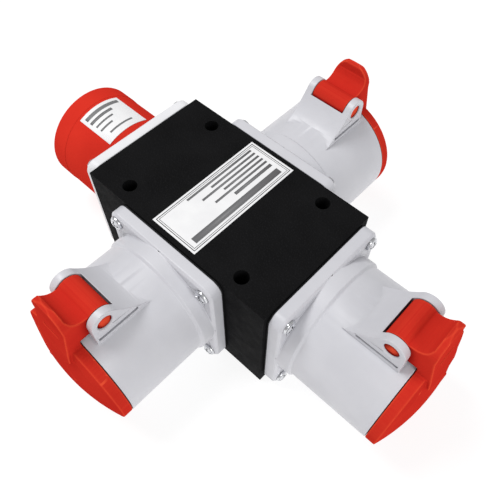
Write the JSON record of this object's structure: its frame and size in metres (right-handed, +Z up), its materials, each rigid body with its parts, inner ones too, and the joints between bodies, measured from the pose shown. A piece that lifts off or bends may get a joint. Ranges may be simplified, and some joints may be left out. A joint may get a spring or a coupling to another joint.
{
  "type": "portable power distribution box",
  "caption": "Portable splitter box for three-phase power: a flanged inlet with a red shroud feeds flanged sockets with sprung red lids on a black box.",
  "frame": {"origin": "centre of the box's flat underside", "axes": "+X from the inlet to the end socket, along the box's length; +Y to the left socket; +Z up, towards the label"},
  "size_m": [0.2883, 0.253, 0.113],
  "materials": {
    "housing": "black moulded plastic with a fine grain",
    "socket_grey": "light grey moulded plastic, satin",
    "inlet_flange": "near-white moulded plastic, satin",
    "lid_red": "red moulded plastic, satin gloss",
    "shroud_red": "orange-red moulded plastic, satin",
    "contact_carrier": "light grey moulded plastic, matt",
    "pin_carrier": "dark grey moulded plastic, matt",
    "post_plastic": "dark grey moulded plastic, matt",
    "spacer_plastic": "off-white moulded plastic, matt",
    "gasket_rubber": "black rubber, matt",
    "zinc_screws": "bright zinc-plated steel",
    "spring_steel": "drawn spring wire",
    "brass": "turned brass",
    "pin_metal": "nickel-plated brass, satin",
    "label_film": "white printed film",
    "wire_green_yellow": "green and yellow insulation",
    "wire_brown": "brown insulation",
    "wire_black": "black insulation",
    "wire_grey": "grey insulation",
    "wire_blue": "blue insulation"
  },
  "bodies": {
    "box": {"housing_shell": "housing", "base_plate": "housing", "base_gasket": "gasket_rubber", "housing_screws": "zinc_screws", "threaded_inserts": "brass", "rating_label": "label_film", "terminal_post": "post_plastic", "post_screws": "zinc_screws", "pole_discs": "brass", "disc_spacers": "spacer_plastic", "post_nut": "zinc_screws", "earth_wires": "wire_green_yellow", "brown_wires": "wire_brown", "black_wires": "wire_black", "grey_wires": "wire_grey", "blue_wires": "wire_blue", "inlet_flange": "inlet_flange", "inlet_gasket": "gasket_rubber", "inlet_screws": "zinc_screws", "inlet_shroud": "shroud_red", "inlet_label": "label_film", "inlet_pin_carrier": "pin_carrier", "inlet_phase_pins": "pin_metal", "inlet_earth_pin": "pin_metal", "inlet_terminal_screws": "zinc_screws", "end_socket_body": "socket_grey", "end_socket_gasket": "gasket_rubber", "end_socket_screws": "zinc_screws", "end_contact_carrier": "contact_carrier", "end_phase_contacts": "brass", "end_earth_contact": "brass", "end_terminal_screws": "zinc_screws", "end_hinge_pin": "lid_red", "end_lid_spring": "spring_steel", "left_socket_body": "socket_grey", "left_socket_gasket": "gasket_rubber", "left_socket_screws": "zinc_screws", "left_contact_carrier": "contact_carrier", "left_phase_contacts": "brass", "left_earth_contact": "brass", "left_terminal_screws": "zinc_screws", "left_hinge_pin": "lid_red", "left_lid_spring": "spring_steel", "right_socket_body": "socket_grey", "right_socket_gasket": "gasket_rubber", "right_socket_screws": "zinc_screws", "right_contact_carrier": "contact_carrier", "right_phase_contacts": "brass", "right_earth_contact": "brass", "right_terminal_screws": "zinc_screws", "right_hinge_pin": "lid_red", "right_lid_spring": "spring_steel"},
    "end_lid": {"end_lid": "lid_red", "end_lid_seal": "gasket_rubber"},
    "left_lid": {"left_lid": "lid_red", "left_lid_seal": "gasket_rubber"},
    "right_lid": {"right_lid": "lid_red", "right_lid_seal": "gasket_rubber"}
  },
  "joints": [
    {"name": "end_lid_hinge", "type": "hinge", "parent": "box", "child": "end_lid", "pos_m": [0.126, 0, 0.0935], "axis": [0, -1, 0], "range_deg": [0, 110], "stiffness_Nm_per_rad": 0.03, "springref_deg": -57.3},
    {"name": "left_lid_hinge", "type": "hinge", "parent": "box", "child": "left_lid", "pos_m": [0, 0.09975, 0.0935], "axis": [1, 0, 0], "range_deg": [0, 110], "stiffness_Nm_per_rad": 0.03, "springref_deg": -57.3},
    {"name": "right_lid_hinge", "type": "hinge", "parent": "box", "child": "right_lid", "pos_m": [0, -0.09975, 0.0935], "axis": [-1, 0, 0], "range_deg": [0, 110], "stiffness_Nm_per_rad": 0.03, "springref_deg": -57.3}
  ]
}
